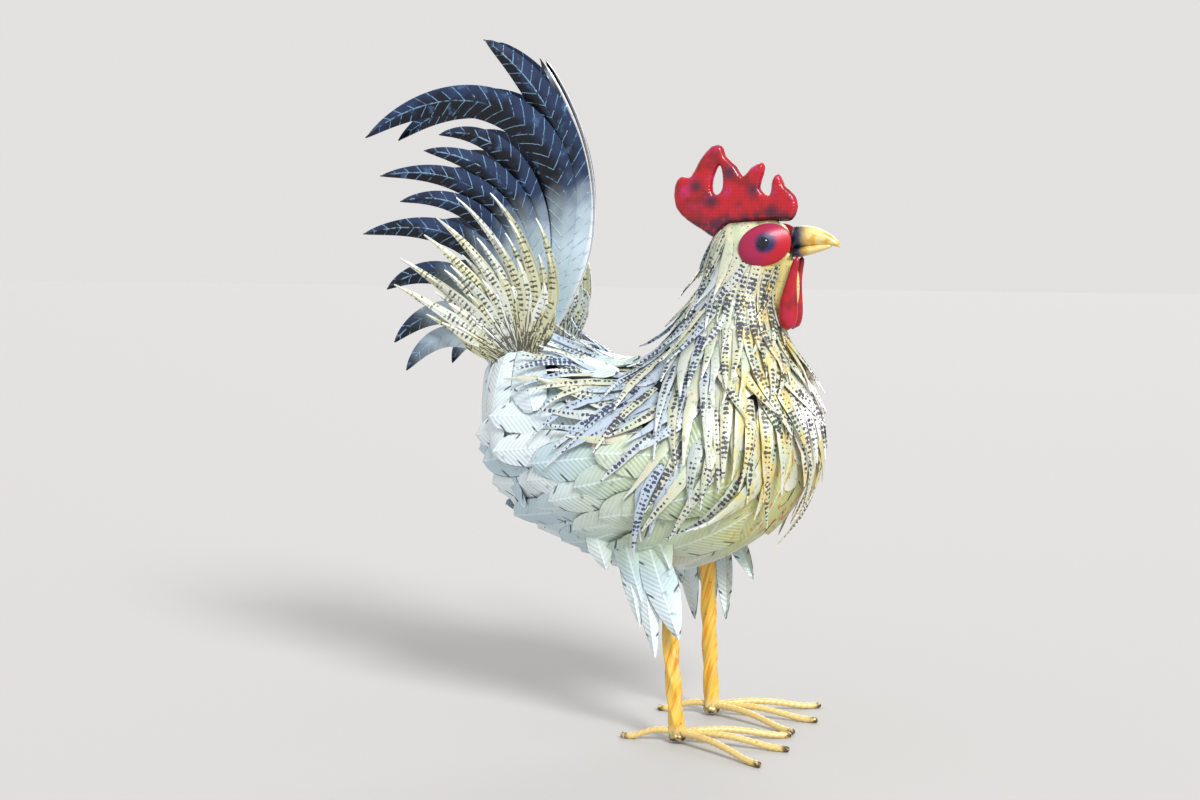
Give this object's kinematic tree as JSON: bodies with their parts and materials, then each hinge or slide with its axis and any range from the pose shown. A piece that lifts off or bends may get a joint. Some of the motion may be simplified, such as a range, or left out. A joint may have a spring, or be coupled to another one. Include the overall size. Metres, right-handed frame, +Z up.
{
  "type": "rooster garden statue",
  "caption": "Standing rooster garden ornament of painted sheet metal, with layered embossed feathers, a tall curved tail, a red comb and rod feet.",
  "frame": {"origin": "on the ground under the middle of the statue's box", "axes": "+Z up, +X the way the rooster faces, +Y to its left side"},
  "size_m": [0.4466, 0.2374, 0.637],
  "materials": {
    "dark_core": "matte dark sheet",
    "red_paint": "glossy red enamel",
    "eye_gloss": "gloss",
    "beak_paint": "satin cream yellow",
    "leg_paint": "satin yellow orange",
    "sickle_paint": "satin navy fading to pale blue white at the root",
    "covert_paint": "satin pale green with dark speckles",
    "hackle_paint": "satin cream with dark spots",
    "leaf_paint": "satin pale blue green, embossed barbs"
  },
  "bodies": {
    "root": {"beak_lower": "beak_paint", "beak_upper": "beak_paint", "body": "dark_core", "breast_feathers_1": "leaf_paint", "breast_feathers_2": "leaf_paint", "breast_feathers_3": "leaf_paint", "comb": "red_paint", "eye_left": "eye_gloss", "eye_right": "eye_gloss", "face_patch_left": "red_paint", "face_patch_right": "red_paint", "hackle_collar_1": "hackle_paint", "hackle_collar_2": "hackle_paint", "hackle_collar_3": "hackle_paint", "hackle_collar_4": "hackle_paint", "leg_left": "leg_paint", "leg_right": "leg_paint", "rump_feathers_1": "leaf_paint", "rump_feathers_2": "leaf_paint", "rump_feathers_3": "leaf_paint", "sickle_left_01": "sickle_paint", "sickle_left_02": "sickle_paint", "sickle_left_03": "sickle_paint", "sickle_left_04": "sickle_paint", "sickle_left_05": "sickle_paint", "sickle_left_06": "sickle_paint", "sickle_left_07": "sickle_paint", "sickle_left_08": "sickle_paint", "sickle_left_09": "sickle_paint", "sickle_left_10": "sickle_paint", "sickle_left_11": "sickle_paint", "sickle_right_01": "sickle_paint", "sickle_right_02": "sickle_paint", "sickle_right_03": "sickle_paint", "sickle_right_04": "sickle_paint", "sickle_right_05": "sickle_paint", "sickle_right_06": "sickle_paint", "sickle_right_07": "sickle_paint", "sickle_right_08": "sickle_paint", "sickle_right_09": "sickle_paint", "sickle_right_10": "sickle_paint", "sickle_right_11": "sickle_paint", "side_feathers_left": "leaf_paint", "side_feathers_right": "leaf_paint", "tail_covert_left_lower": "covert_paint", "tail_covert_left_upper": "covert_paint", "tail_covert_right_lower": "covert_paint", "tail_covert_right_upper": "covert_paint", "thigh_feathers_left": "leaf_paint", "thigh_feathers_right": "leaf_paint", "toe_left_back": "leg_paint", "toe_left_inner": "leg_paint", "toe_left_middle": "leg_paint", "toe_left_outer": "leg_paint", "toe_right_back": "leg_paint", "toe_right_inner": "leg_paint", "toe_right_middle": "leg_paint", "toe_right_outer": "leg_paint", "wattle_left": "red_paint", "wattle_right": "red_paint"}
  },
  "joints": []
}
